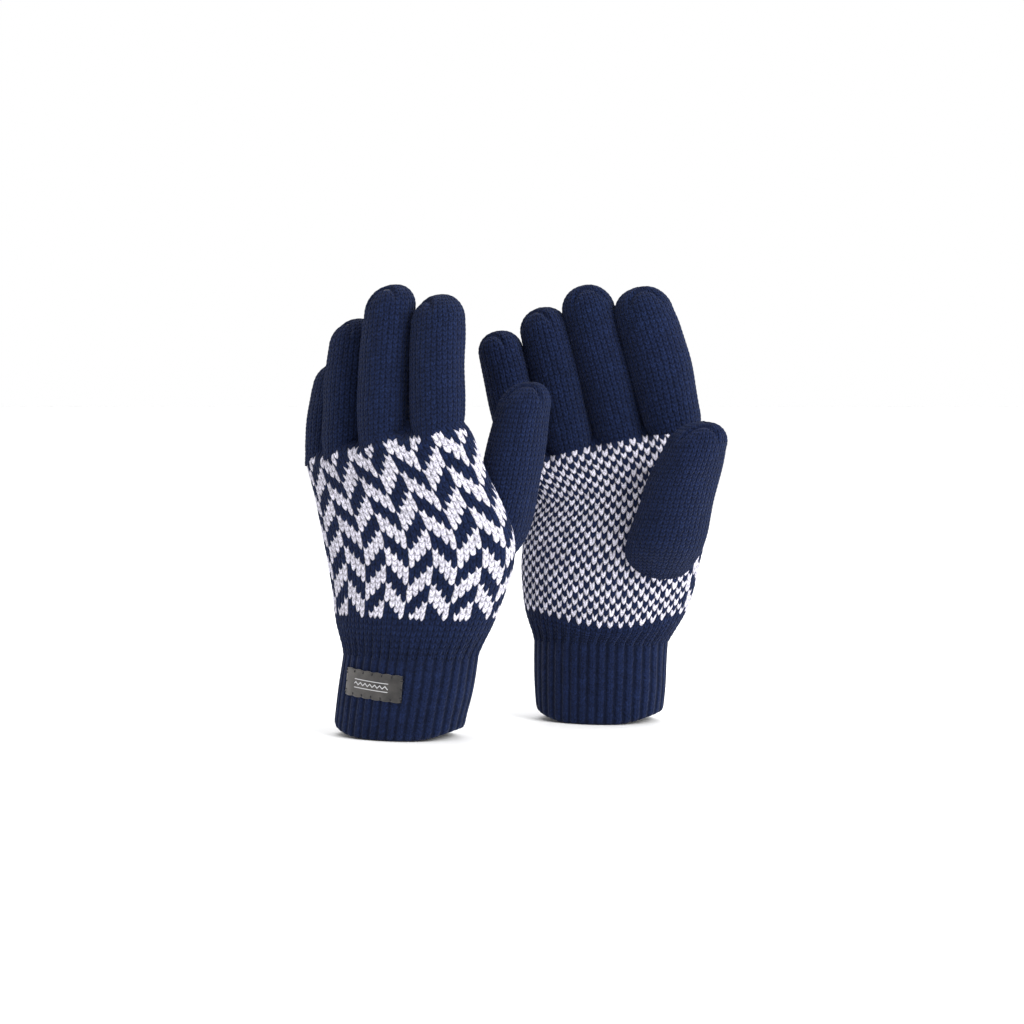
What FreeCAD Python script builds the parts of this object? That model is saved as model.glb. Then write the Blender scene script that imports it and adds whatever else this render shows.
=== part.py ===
import FreeCAD, Part
import math
import os

from FreeCAD import Placement, Rotation, Vector

# A pair of lined knitted gloves standing on their cuffs, in millimetres, +Z up.
# Each glove is drawn in its own frame: across = towards the thumb, forward = towards the palm,
# up = towards the fingertips. The right glove is drawn with forward reversed, which mirrors it.

os.makedirs("parts", exist_ok=True)
doc = FreeCAD.newDocument("KnittedGloves")
sheet = doc.addObject("Spreadsheet::Sheet", "Sizes")

common = {
    "knitThickness": 2.2,
    "liningThickness": 2.4,
    "layerGap": 0.2,
    "bodyGap": 0.4,
    "cuffSwell": 0.8,
    "cuffHeight": 47.0,
    "liningStart": 8.0,
    "hemThreadRadius": 0.9,
    "hemThreadHeight": 6.6,
    "tieRingRadius": 1.7,
    "tieYarnRadius": 0.7,
    "labelLength": 35.0,
    "labelHeight": 16.0,
    "labelThickness": 0.7,
    "labelAcross": -9.5,
    "labelCentreHeight": 29.0,
    "labelLean": 4.6,
    "tackThickness": 0.6,
    "indexWidth": 31.0,
    "indexDepth": 29.0,
    "middleWidth": 29.2,
    "middleDepth": 28.4,
    "ringWidth": 27.8,
    "ringDepth": 27.2,
    "littleWidth": 24.4,
    "littleDepth": 24.0,
}
# Cross sections of the hand: height, shift across, shift forward, width, depth, turn in degrees.
handStations = ("Hem", "CuffTop", "Wrist", "Heel", "Thenar", "Palm", "Fork", "Knuckle", "Root")
handTable = {
    "left": (
        (0.0, -4.3, 0.0, 77.0, 53.0, 0.0),
        (47.0, 3.0, 0.0, 80.0, 53.0, 0.0),
        (52.0, 3.6, 0.0, 83.0, 53.0, 0.0),
        (65.0, 5.0, 0.0, 94.5, 52.0, 0.0),
        (85.0, 7.7, 0.0, 105.0, 51.0, 0.0),
        (102.0, 8.8, 0.0, 114.0, 50.0, 0.0),
        (119.0, 6.5, 0.5, 118.0, 49.0, 2.0),
        (143.0, -4.0, 3.5, 114.0, 45.0, 9.0),
        (173.1, -20.6, 9.3, 113.0, 42.0, 20.5),
    ),
    "right": (
        (0.0, -5.0, 0.0, 76.0, 53.0, 0.0),
        (47.0, -4.1, 0.0, 80.0, 53.0, 0.0),
        (52.0, -3.2, 0.0, 84.0, 53.0, 0.0),
        (65.0, -1.5, 0.0, 96.5, 52.0, 0.0),
        (79.0, 0.0, 0.0, 103.5, 51.0, 0.0),
        (97.0, 1.6, 0.0, 108.0, 50.0, 0.0),
        (119.0, 5.5, 0.5, 111.0, 48.0, 0.0),
        (140.0, 6.5, 1.5, 106.0, 45.0, 0.0),
        (168.0, -3.4, 4.0, 119.0, 41.0, 0.0),
    ),
}
rootSlope = {"left": 10.5, "right": 12.0}
# Where each glove stands: x, y, and its turn about the vertical.
stand = {"left": (-62.5, -32.7, 20.0), "right": (56.5, 35.3, 14.0)}

# Fingers: root across, root forward, then the tip's across, forward and height.
fingerTable = {
    "left": {
        "index": (20.2, 0.0, 16.9, 12.0, 254.0),
        "middle": (-13.3, 0.0, -13.6, 14.0, 260.0),
        "ring": (-41.6, 12.0, -42.9, 30.0, 240.0),
        "little": (-62.9, 31.0, -66.2, 56.0, 214.0),
    },
    "right": {
        "index": (40.0, 0.0, 22.0, 6.0, 259.0),
        "middle": (8.0, 0.0, -11.4, 8.0, 260.0),
        "ring": (-22.0, 4.0, -39.8, 11.0, 247.0),
        "little": (-49.5, 11.0, -64.9, 17.0, 233.0),
    },
}
# Thumbs: across, forward, height, width and depth from inside the hand up to the tip.
thumbStations = ("Buried", "Seam", "Lower", "Middle", "Upper", "Tip")
thumbTable = {
    "left": (
        (36.0, 6.0, 92.0, 28.0, 30.0),
        (47.0, 20.0, 114.0, 36.0, 38.0),
        (53.0, 25.5, 140.0, 35.5, 38.0),
        (57.0, 28.0, 163.0, 34.0, 36.5),
        (60.5, 29.5, 183.0, 31.5, 33.0),
        (65.0, 31.0, 204.0, 31.0, 32.0),
    ),
    "right": (
        (30.0, 5.0, 86.0, 32.0, 26.0),
        (38.0, 21.0, 105.0, 45.0, 37.0),
        (46.0, 31.0, 127.0, 43.5, 37.0),
        (52.5, 38.5, 146.0, 41.0, 36.0),
        (59.0, 43.5, 160.0, 37.5, 34.5),
        (67.0, 48.0, 181.0, 36.0, 33.0),
    ),
}
# Fingertip dome: share of the radius back from the tip, share of the full section.
domeSteps = ((1.0, 0.97), (0.62, 0.9), (0.34, 0.75), (0.13, 0.5), (0.0, 0.2))
shaftSteps = (0.0, 0.33, 0.68)

fingerNames = ("index", "middle", "ring", "little")
stallNames = fingerNames + ("thumb",)
mirror = {"left": 1, "right": -1}

sizes = dict(common)
for side in ("left", "right"):
    for station, row in zip(handStations, handTable[side]):
        for what, value in zip(("Height", "Across", "Forward", "Width", "Depth", "Turn"), row):
            sizes[side + station + what] = value
    for finger, row in fingerTable[side].items():
        for what, value in zip(("RootAcross", "RootForward", "Across", "Forward", "Height"), row):
            sizes[side + finger.capitalize() + what] = value
    for station, row in zip(thumbStations, thumbTable[side]):
        for what, value in zip(("Across", "Forward", "Height", "Width", "Depth"), row):
            sizes[side + "Thumb" + station + what] = value

# The finger roots lie on one sloping plane, so each root's height follows from its place on it.
for side in ("left", "right"):
    turn = math.radians(sizes[side + "RootTurn"])
    for finger in fingerNames:
        name = side + finger.capitalize()
        across = sizes[name + "RootAcross"] - sizes[side + "RootAcross"]
        forward = sizes[name + "RootForward"] - sizes[side + "RootForward"]
        along = math.cos(turn) * across - math.sin(turn) * forward
        rise = math.tan(math.radians(rootSlope[side])) * along
        sizes[name + "RootHeight"] = round(sizes[side + "RootHeight"] + rise, 3)

for row, (name, value) in enumerate(sizes.items(), 1):
    sheet.set("A%d" % row, name)
    sheet.set("B%d" % row, "%g" % value)
    sheet.setAlias("B%d" % row, name)
doc.recompute()


def between(start, end, share):
    """An expression part of the way from one size to another."""
    return "(Sizes.%s * %.6f + Sizes.%s * %.6f)" % (start, 1 - share, end, share)


def oval(side, centre, widths, inset, turn, slope, drop=0.0):
    """An ellipse whose centre and two widths are expressions, inset all round by a number."""
    ring = doc.addObject("Part::Ellipse", "Oval")
    spin = Rotation(Vector(0, 0, 1), -mirror[side] * turn)
    spin = spin.multiply(Rotation(Vector(0, 1, 0), -slope))
    down = spin.multVec(Vector(0, 0, -drop))
    width, depth = widths
    if side == "left" and "Thumb" in width:
        width, depth = depth, width
        spin = spin.multiply(Rotation(Vector(0, 0, 1), 90))
    ring.Placement = Placement(Vector(0, 0, 0), spin)
    ring.setExpression("MajorRadius", "(%s / 2 - %g) * 1 mm" % (width, inset))
    ring.setExpression("MinorRadius", "(%s / 2 - %g) * 1 mm" % (depth, inset))
    ring.setExpression("Placement.Base.x", "(%s + %.6f) * 1 mm" % (centre[0], down.x))
    ring.setExpression(
        "Placement.Base.y", "(%s * %d + %.6f) * 1 mm" % (centre[1], mirror[side], down.y)
    )
    ring.setExpression("Placement.Base.z", "(%s + %.6f) * 1 mm" % (centre[2], down.z))
    return ring


def loft(sections, ruled=True):
    body = doc.addObject("Part::Loft", "Loft")
    body.Sections = sections
    body.Solid = True
    body.Ruled = ruled
    return body


def cut(base, *tools):
    for tool in tools:
        result = doc.addObject("Part::Cut", "Cut")
        result.Base = base
        result.Tool = tool
        base = result
    return base


def slab(low, high):
    """A wide flat block between two heights."""
    block = doc.addObject("Part::Box", "Slab")
    block.Length = block.Width = 320
    block.Height = high - low
    block.Placement = Placement(Vector(-160, -160, low), Rotation())
    return block


def handLoft(side, inset, drop=0.0, below=0.0):
    """The whole hand from hem to finger roots, inset all round and lowered at the roots."""
    sections = []
    for station in handStations:
        name = side + station
        centre = ["Sizes." + name + what for what in ("Across", "Forward", "Height")]
        widths = ["Sizes." + name + what for what in ("Width", "Depth")]
        atRoot = station == "Root"
        if station == "Hem":
            centre[2] += " - %g" % below
        slope = rootSlope[side] if atRoot else 0.0
        turn = sizes[name + "Turn"]
        sections.append(oval(side, centre, widths, inset, turn, slope, drop if atRoot else 0.0))
    return loft(sections)


def cuffLoft(side, outset, top):
    """The cuff's straight oval tube as a solid, a given distance outside its table sizes."""
    sections = []
    for share in (-0.02, top):
        centre = [between(side + "Hem" + w, side + "CuffTop" + w, share) for w in
                  ("Across", "Forward", "Height")]
        widths = [between(side + "Hem" + w, side + "CuffTop" + w, share) for w in
                  ("Width", "Depth")]
        sections.append(oval(side, centre, widths, -outset, 0.0, 0.0))
    return loft(sections, ruled=True)


def stallSteps(length, radius, inset):
    """Shares of the way from root to tip, with the share of the full section at each."""
    inner = radius - inset
    domeStart = 1 - (inset + domeSteps[0][0] * inner) / length
    steps = [(domeStart * share, 1 - 0.03 * share) for share in shaftSteps]
    return steps + [(1 - (inset + back * inner) / length, full) for back, full in domeSteps]


def fingerLoft(side, finger, inset):
    name = side + finger.capitalize()
    root = Vector(*[sizes[name + "Root" + w] for w in ("Across", "Forward", "Height")])
    tip = Vector(*[sizes[name + w] for w in ("Across", "Forward", "Height")])
    radius = sizes[finger + "Width"] / 2
    sections = []
    for share, full in stallSteps((tip - root).Length, radius, inset):
        centre = [between(name + "Root" + w, name + w, share) for w in
                  ("Across", "Forward", "Height")]
        # The inset shrinks with the section, so the wall keeps its thickness over the dome.
        widths = ["(Sizes.%s%s - %g) * %.5f" % (finger, w, 2 * inset, full) for w in
                  ("Width", "Depth")]
        turn = sizes[side + "RootTurn"]
        sections.append(oval(side, centre, widths, 0.0, turn, rootSlope[side]))
    return loft(sections)


def fingerWell(side, finger, inset):
    """A short straight tube through the roof of the hand under one finger."""
    name = side + finger.capitalize() + "Root"
    centre = ["Sizes." + name + w for w in ("Across", "Forward", "Height")]
    widths = ["Sizes." + finger + w for w in ("Width", "Depth")]
    turn = sizes[side + "RootTurn"]
    ends = [oval(side, centre, widths, inset, turn, rootSlope[side], drop) for drop in (9, -2)]
    return loft(ends, ruled=True)


def thumbLoft(side, inset):
    name = side + "Thumb"
    points = [Vector(*[sizes[name + s + w] for w in ("Across", "Forward", "Height")])
              for s in thumbStations]
    sections = []
    for station in thumbStations[:-2]:
        centre = ["Sizes." + name + station + w for w in ("Across", "Forward", "Height")]
        widths = ["Sizes." + name + station + w for w in ("Width", "Depth")]
        sections.append(oval(side, centre, widths, inset, 0.0, 0.0))
    length = (points[-1] - points[-2]).Length
    radius = sizes[name + "TipDepth"] / 2 - inset
    for back, full in domeSteps:
        share = 1 - (inset + back * radius) / length
        centre = [between(name + "Upper" + w, name + "Tip" + w, share) for w in
                  ("Across", "Forward", "Height")]
        widths = ["(Sizes.%sTip%s - %g) * %.5f" % (name, w, 2 * inset, full) for w in
                  ("Width", "Depth")]
        sections.append(oval(side, centre, widths, 0.0, 0.0, 0.0))
    return loft(sections)


def tipTie(side, finger):
    """The small ring of yarn that draws a fingertip shut."""
    name = side + finger.capitalize() + ("Tip" if finger == "thumb" else "")
    slope = 0.0 if finger == "thumb" else rootSlope[side]
    turn = 0.0 if finger == "thumb" else sizes[side + "RootTurn"]
    spin = Rotation(Vector(0, 0, 1), -mirror[side] * turn)
    spin = spin.multiply(Rotation(Vector(0, 1, 0), -slope))
    lift = spin.multVec(Vector(0, 0, sizes["tieYarnRadius"] + sizes["layerGap"]))
    ring = doc.addObject("Part::Torus", "Tie")
    ring.Placement = Placement(Vector(0, 0, 0), spin)
    ring.setExpression("Radius1", "Sizes.tieRingRadius * 1 mm")
    ring.setExpression("Radius2", "Sizes.tieYarnRadius * 1 mm")
    ring.setExpression("Placement.Base.x", "(Sizes.%sAcross + %.6f) * 1 mm" % (name, lift.x))
    ring.setExpression(
        "Placement.Base.y", "(Sizes.%sForward * %d + %.6f) * 1 mm" % (name, mirror[side], lift.y)
    )
    ring.setExpression("Placement.Base.z", "(Sizes.%sHeight + %.6f) * 1 mm" % (name, lift.z))
    return ring


def labelBlock(side, grow):
    """A block through the back of the cuff, as long and high as the label plus a margin."""
    block = doc.addObject("Part::Box", "LabelBlock")
    block.setExpression("Length", "(Sizes.labelLength + %g) * 1 mm" % (2 * grow))
    block.setExpression("Height", "(Sizes.labelHeight + %g) * 1 mm" % (2 * grow))
    block.Width = 60
    lean = Rotation(Vector(0, 1, 0), sizes["labelLean"])
    corner = Vector(-sizes["labelLength"] / 2 - grow, 0, -sizes["labelHeight"] / 2 - grow)
    corner.y = -60 if side == "left" else 0
    centre = Vector(sizes["labelAcross"], 0, sizes["labelCentreHeight"])
    block.Placement = Placement(centre + lean.multVec(corner), lean)
    return block


def common2(first, second):
    result = doc.addObject("Part::Common", "Common")
    result.Base = first
    result.Tool = second
    return result


def hemThread(side):
    share = sizes["hemThreadHeight"] / sizes["cuffHeight"]
    inset = sizes["knitThickness"] + sizes["layerGap"] + sizes["hemThreadRadius"]
    centre = [between(side + "Hem" + w, side + "CuffTop" + w, share) for w in
              ("Across", "Forward", "Height")]
    widths = [between(side + "Hem" + w, side + "CuffTop" + w, share) for w in
              ("Width", "Depth")]
    path = oval(side, centre, widths, inset, 0.0, 0.0)
    doc.recompute()
    thread = doc.addObject("Part::Circle", "Thread")
    thread.setExpression("Radius", "Sizes.hemThreadRadius * 1 mm")
    start = path.Shape.Edges[0].valueAt(path.Shape.Edges[0].FirstParameter)
    thread.Placement = Placement(start, Rotation(Vector(1, 0, 0), 90))
    sweep = doc.addObject("Part::Sweep", "Sweep")
    sweep.Sections = [thread]
    sweep.Spine = (path, ["Edge1"])
    sweep.Solid = True
    sweep.Frenet = True
    return sweep


knit = sizes["knitThickness"]
liningOut = knit + sizes["layerGap"]
liningIn = liningOut + sizes["liningThickness"]
nodes = []


def finish(side, label, body):
    doc.recompute()
    x, y, turn = stand[side]
    place = Placement(Vector(x, y, 0), Rotation(Vector(0, 0, 1), -turn))
    body.Placement = place.multiply(body.Placement)
    for name, bound in list(body.ExpressionEngine):
        if "Placement" in name:
            body.setExpression(name, None)
    body.Label = side + "_" + label
    nodes.append(body)


def makeHand(side):
    outer = handLoft(side, 0.0)
    cavity = handLoft(side, knit, drop=knit, below=1.0)
    thumbHole = thumbLoft(side, knit)
    wells = [fingerWell(side, finger, knit + 1.2) for finger in fingerNames]
    below = slab(-10, sizes["cuffHeight"])
    finish(side, "hand_knit", cut(outer, cavity, below, thumbHole, *wells))

    cuffBlock = cuffLoft(side, sizes["cuffSwell"], 1.0)
    cuffCavity = handLoft(side, knit, drop=knit, below=1.0)
    finish(side, "ribbed_cuff", cut(cuffBlock, slab(-10, 0), cuffCavity))

    liningOuter = handLoft(side, liningOut, drop=liningOut)
    liningCavity = handLoft(side, liningIn, drop=liningIn, below=1.0)
    liningWells = [fingerWell(side, finger, liningIn + 1.2) for finger in fingerNames]
    trimmed = cut(liningOuter, liningCavity, slab(-10, sizes["liningStart"]))
    finish(side, "hand_lining", cut(trimmed, thumbLoft(side, liningIn), *liningWells))
    finish(side, "hem_seam_thread", hemThread(side))


def makeStall(side, finger):
    build = thumbLoft if finger == "thumb" else (lambda s, inset: fingerLoft(s, finger, inset))
    shell = cut(build(side, 0.0), build(side, knit))
    lining = cut(build(side, liningOut), build(side, liningIn))
    if finger == "thumb":
        shell = cut(shell, handLoft(side, -sizes["bodyGap"], drop=-sizes["bodyGap"]))
        lining = cut(lining, handLoft(side, -sizes["bodyGap"], drop=-sizes["bodyGap"]))
    finish(side, finger + "_stall", shell)
    finish(side, finger + "_lining", lining)
    finish(side, finger + "_tip_tie", tipTie(side, finger))


def makeLabel(side):
    bottom = sizes["cuffSwell"] + sizes["layerGap"]
    top = bottom + sizes["labelThickness"]
    skin = cut(cuffLoft(side, top, 1.0), cuffLoft(side, bottom, 1.1))
    finish(side, "woven_label", common2(skin, labelBlock(side, 0.0)))
    threadTop = top + sizes["layerGap"] / 2 + sizes["tackThickness"]
    threadSkin = cut(cuffLoft(side, threadTop, 1.0), cuffLoft(side, top + 0.1, 1.1))
    frame = cut(labelBlock(side, 0.0), labelBlock(side, -0.7))
    finish(side, "label_tacking", common2(threadSkin, frame))


for side in ("left", "right"):
    makeHand(side)
    for finger in stallNames:
        makeStall(side, finger)
    makeLabel(side)
doc.recompute()

# The finger lofts start on the hands' root plane, so each stall is lifted clear of it.
for node in nodes:
    side = node.Label.split("_")[0]
    finger = node.Label.split("_")[1]
    if finger in fingerNames:
        spin = Rotation(Vector(0, 0, 1), -stand[side][2])
        spin = spin.multiply(Rotation(Vector(0, 0, 1), -mirror[side] * sizes[side + "RootTurn"]))
        spin = spin.multiply(Rotation(Vector(0, 1, 0), -rootSlope[side]))
        lift = spin.multVec(Vector(0, 0, sizes["bodyGap"]))
        node.Placement = Placement(lift, Rotation()).multiply(node.Placement)
doc.recompute()

for item in doc.Objects:
    if "Invalid" in item.State or "Error" in item.State:
        raise RuntimeError("%s did not recompute: %s" % (item.Label, item.State))
for node in nodes:
    shape = node.Shape
    if shape.isNull() or not shape.isValid() or len(shape.Solids) != 1:
        raise RuntimeError("%s is not one valid solid" % node.Label)
    shape.exportStep("parts/%s.step" % node.Label)
    box = shape.BoundBox
    print("%-22s volume %9.1f  x %7.1f %7.1f  y %7.1f %7.1f  z %6.1f %6.1f" % (
        node.Label, shape.Volume, box.XMin, box.XMax, box.YMin, box.YMax, box.ZMin, box.ZMax))
print(len(nodes), "nodes")
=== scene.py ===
import math

import bpy
import numpy as np
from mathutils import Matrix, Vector


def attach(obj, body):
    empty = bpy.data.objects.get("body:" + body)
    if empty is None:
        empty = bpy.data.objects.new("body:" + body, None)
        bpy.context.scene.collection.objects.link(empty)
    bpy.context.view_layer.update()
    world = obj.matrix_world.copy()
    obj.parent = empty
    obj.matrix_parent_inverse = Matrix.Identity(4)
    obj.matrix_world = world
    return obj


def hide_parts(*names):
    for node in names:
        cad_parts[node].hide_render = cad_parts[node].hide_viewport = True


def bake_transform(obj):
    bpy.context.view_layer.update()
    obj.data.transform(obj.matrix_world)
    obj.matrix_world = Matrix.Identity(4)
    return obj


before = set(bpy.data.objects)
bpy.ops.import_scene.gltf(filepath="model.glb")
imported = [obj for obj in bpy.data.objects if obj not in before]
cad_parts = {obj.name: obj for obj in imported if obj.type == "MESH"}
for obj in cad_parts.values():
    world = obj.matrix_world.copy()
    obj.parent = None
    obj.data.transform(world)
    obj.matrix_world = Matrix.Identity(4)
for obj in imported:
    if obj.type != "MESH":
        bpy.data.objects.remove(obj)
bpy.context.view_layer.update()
bpy.context.scene.view_settings.view_transform = "Standard"

# Knit gauge: millimetres for one wale across and one course up, finer on the stalls, and mesh points for each
stitch = {
    "wale": 3.6,
    "course": 3.3,
    "stallWale": 3.0,
    "stallCourse": 2.8,
    "pointsAcross": 6,
    "pointsUp": 5,
    "vSlope": 1.1,
    "relief": 0.0005,
}

# Where each glove stands (mm and degrees), and its hand's sections from the wrist up:
# height, across, forward, width, depth, turn
gloves = {
    "left": {
        "stand": (-62.5, -32.7, 20.0), "facing": 1, "rootSlope": 10.5,
        "hem": (-4.3, 77.0, 53.0), "palmSag": 0.0, "plump": 0.9,
        "sections": (
            (47.0, 3.0, 0.0, 80.0, 53.0, 0.0), (52.0, 3.6, 0.0, 83.0, 53.0, 0.0),
            (65.0, 5.0, 0.0, 94.5, 52.0, 0.0), (85.0, 7.7, 0.0, 105.0, 51.0, 0.0),
            (102.0, 8.8, 0.0, 114.0, 50.0, 0.0), (119.0, 6.5, 0.5, 118.0, 49.0, 2.0),
            (143.0, -4.0, 3.5, 114.0, 45.0, 9.0), (173.1, -20.6, 9.3, 113.0, 42.0, 20.5)),
    },
    "right": {
        "stand": (56.5, 35.3, 14.0), "facing": -1, "rootSlope": 12.0,
        "hem": (-5.0, 76.0, 53.0), "palmSag": 9.0, "plump": 1.2,
        "sections": (
            (47.0, -4.1, 0.0, 80.0, 53.0, 0.0), (52.0, -3.2, 0.0, 84.0, 53.0, 0.0),
            (65.0, -1.5, 0.0, 96.5, 52.0, 0.0), (79.0, 0.0, 0.0, 103.5, 51.0, 0.0),
            (97.0, 1.6, 0.0, 108.0, 50.0, 0.0), (119.0, 5.5, 0.5, 111.0, 48.0, 0.0),
            (140.0, 6.5, 1.5, 106.0, 45.0, 0.0), (168.0, -3.4, 4.0, 119.0, 41.0, 0.0)),
    },
}


def toWorld(side, points):  # glove mm (across, forward, up) to scene metres
    x, y, turn = gloves[side]["stand"]
    turn = math.radians(turn)
    u, v, z = points[..., 0], points[..., 1] * gloves[side]["facing"], points[..., 2]
    return np.stack([x + u * math.cos(turn) + v * math.sin(turn),
                     y - u * math.sin(turn) + v * math.cos(turn), z], axis=-1) / 1000


def smoothStep(t):
    t = np.clip(t, 0, 1)
    return t * t * (3 - 2 * t)


def stitchHeight(wale, course):  # 0 in the gap between two wales, 1 on the crown of a leg of the V
    across = wale - np.floor(wale)
    leg = np.abs(across - 0.5)
    along = course - stitch["vSlope"] * leg
    along = along - np.floor(along)
    dash = 1 - 0.4 * np.sin(np.pi * along) ** 2
    cord = 1 - np.abs(2 * across - 1) ** 3 * dash
    split = 1 - 0.4 * np.exp(-(leg / 0.09) ** 2)
    bead = np.abs(np.sin(np.pi * along)) ** 0.5
    return cord * split * (0.4 + 0.6 * bead)


def ribHeight(wale, course):  # one knit wale stands up, the purl wale beside it sinks
    across = wale - np.floor(wale)
    crown = np.clip(np.sin(np.pi * np.clip(across / cuff["knitShare"], 0, 1)), 0, 1) ** 0.55
    leg = np.abs(across / cuff["knitShare"] - 0.5)
    along = course - stitch["vSlope"] * leg
    along = along - np.floor(along)
    return crown * (0.9 + 0.1 * np.abs(np.sin(np.pi * along)) ** 0.6)


def gridNormals(side, points):
    around = np.roll(points, -1, 1) - np.roll(points, 1, 1)
    up = np.gradient(points, axis=0)
    normal = np.cross(around, up)
    length = np.linalg.norm(normal, axis=-1, keepdims=True)
    return normal / np.maximum(length, 1e-12) * gloves[side]["facing"]


def unevenness(points, seed, amount):  # slow swells, so nothing looks turned on a lathe
    rng = np.random.default_rng(seed)
    shift = np.zeros(points.shape[:2])
    for _ in range(7):
        direction = rng.normal(size=3)
        direction /= np.linalg.norm(direction)
        shift += np.sin(points @ direction * rng.uniform(90, 260) + rng.uniform(0, 6.28))
    return shift / 7 * amount


def wander(points, seed, amount):  # yarn is never quite even, so its rows and columns wander a little
    rng = np.random.default_rng(seed)
    shift = np.zeros(points.shape[:2])
    for _ in range(9):
        direction = rng.normal(size=3)
        direction /= np.linalg.norm(direction)
        shift += np.sin(points @ direction * rng.uniform(500, 1500) + rng.uniform(0, 6.28))
    return shift / 9 * amount


def tubeObject(side, name, points, wale, course, material, closeTop=False):
    rows, cols = points.shape[:2]
    index = np.arange(rows * cols).reshape(rows, cols)
    right = np.roll(index, -1, 1)
    faces = np.stack([index[:-1], right[:-1], right[1:], index[1:]], -1).reshape(-1, 4).tolist()
    if closeTop:
        faces.append(index[-1].tolist())
    mesh = bpy.data.meshes.new(name)
    mesh.from_pydata(points.reshape(-1, 3).tolist(), [], faces)
    # The last column's faces end at the full count of wales, not back at zero
    w = np.concatenate([wale, wale[:, :1] + round(float(wale[0, -1] - wale[0, 0]) * cols / (cols - 1))], 1)
    c = np.concatenate([course, course[:, :1]], 1)
    corners = [(w[:-1, :-1], c[:-1, :-1]), (w[:-1, 1:], c[:-1, 1:]),
               (w[1:, 1:], c[1:, 1:]), (w[1:, :-1], c[1:, :-1])]
    flat = np.stack([np.stack([a.reshape(-1), b.reshape(-1)], -1) for a, b in corners], 1).reshape(-1)
    if closeTop:
        flat = np.concatenate([flat, np.tile([0.25, 0.5], cols)])
    mesh.uv_layers.new(name="stitch").data.foreach_set("uv", flat.astype(np.float32))
    mesh.materials.append(material)
    mesh.polygons.foreach_set("use_smooth", [True] * len(mesh.polygons))
    mesh.update()
    if gloves[side]["facing"] < 0:
        mesh.flip_normals()
    piece = bpy.data.objects.new(name, mesh)
    bpy.context.scene.collection.objects.link(piece)
    return piece


# Materials
def mathNode(tree, operation, first, second=None, third=None):
    node = tree.nodes.new("ShaderNodeMath")
    node.operation = operation
    for socket, value in zip(node.inputs, (first, second, third)):
        if value is None:
            continue
        if isinstance(value, (int, float)):
            socket.default_value = value
        else:
            tree.links.new(value, socket)
    return node.outputs[0]


def noiseNode(tree, coords, scale, detail):
    node = tree.nodes.new("ShaderNodeTexNoise")
    node.inputs["Scale"].default_value = scale
    node.inputs["Detail"].default_value = detail
    tree.links.new(coords.outputs["Object"], node.inputs["Vector"])
    return node.outputs[0]


yarn = {
    "navy": (0.0068, 0.0128, 0.0430),
    "white": (0.65, 0.63, 0.73),
    "roughness": 0.95,
    "sheen": 0.07,
    "sheenTint": (0.55, 0.62, 0.9, 1),
}


# The two-colour chart: broken chevrons on the back, single white stitches on the palm
chart = {
    "wales": 76,
    "repeatAcross": 8,
    "repeatUp": 6,
    "firstRow": {"left": 7, "right": 6},
    "lastRow": {"left": 35, "right": 35},
    "palmFrom": 41.0,
    "palmTo": 75.5,
}

# Ribbed cuff
cuff = {
    "ribs": 38, "pointsPerRib": 12, "knitShare": 0.74, "top": 47.0, "ribDepth": 0.00045,
    "swell": 0.55, "fold": 3.4, "sideLift": 5.5, "liftFades": 30.0,
}


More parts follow.
